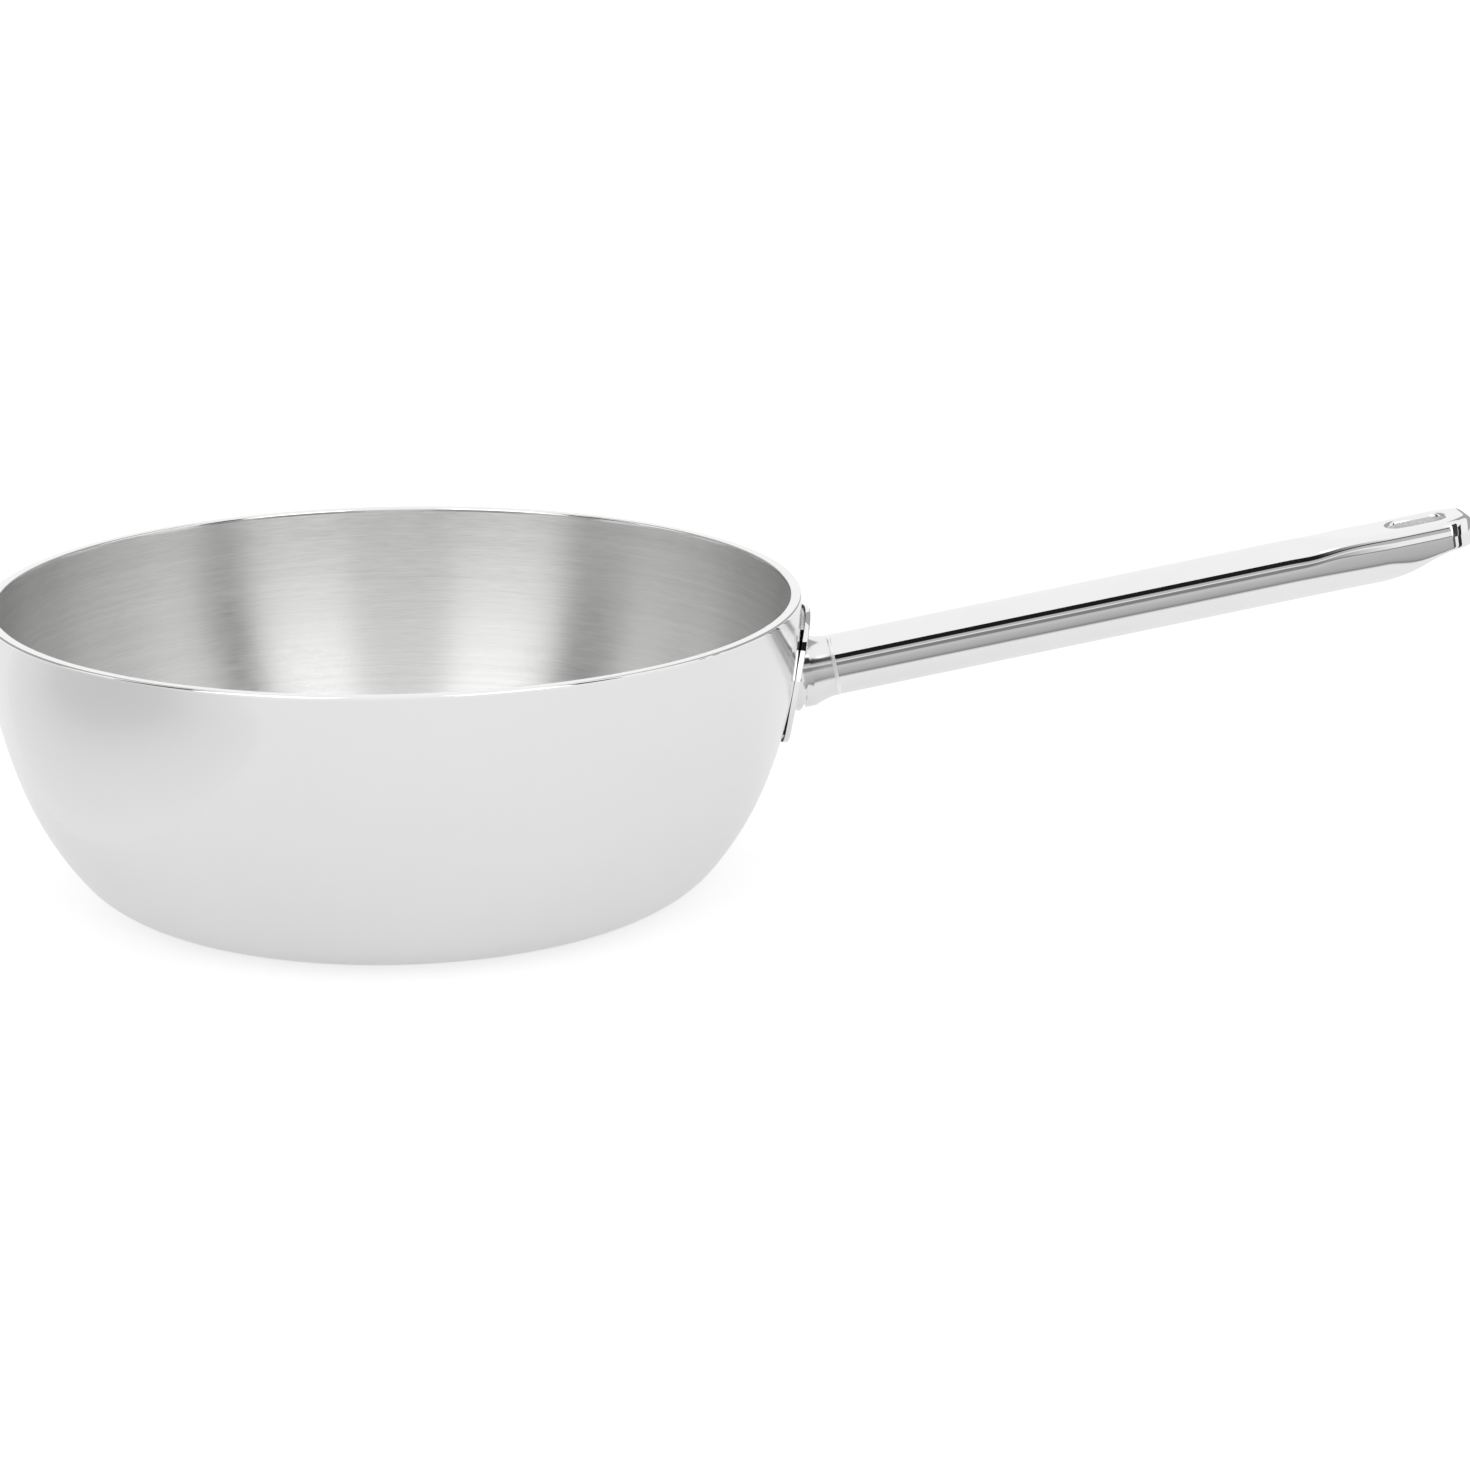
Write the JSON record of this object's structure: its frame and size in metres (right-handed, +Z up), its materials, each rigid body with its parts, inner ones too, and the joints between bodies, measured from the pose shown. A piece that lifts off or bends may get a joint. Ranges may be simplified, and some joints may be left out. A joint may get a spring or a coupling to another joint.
{
  "type": "saucier pan",
  "caption": "Saucier pan: a curved five-ply steel bowl with a sealed polished rim and a long welded tube handle with a hanging slot.",
  "frame": {"origin": "centre of the base's underside, on the bowl's axis", "axes": "+Z up along the bowl's axis, +X out along the handle, the pan is symmetric about the XZ plane"},
  "size_m": [0.4562, 0.2466, 0.1099],
  "materials": {
    "inside_steel": "satin, brushed round the bowl",
    "outside_steel": "satin",
    "core_alloy": "rolled, enclosed",
    "polished_steel": "mirror-polished",
    "weld": "fused and dressed"
  },
  "bodies": {
    "root": {"inner_steel_ply": "inside_steel", "inner_aluminium_ply": "core_alloy", "alloy_core_ply": "core_alloy", "outer_aluminium_ply": "core_alloy", "outer_steel_ply": "outside_steel", "rim_band": "polished_steel", "mounting_plate": "polished_steel", "upper_weld": "weld", "lower_weld": "weld", "handle_stem": "polished_steel", "seam_weld": "polished_steel", "handle_tube": "polished_steel"}
  },
  "joints": []
}
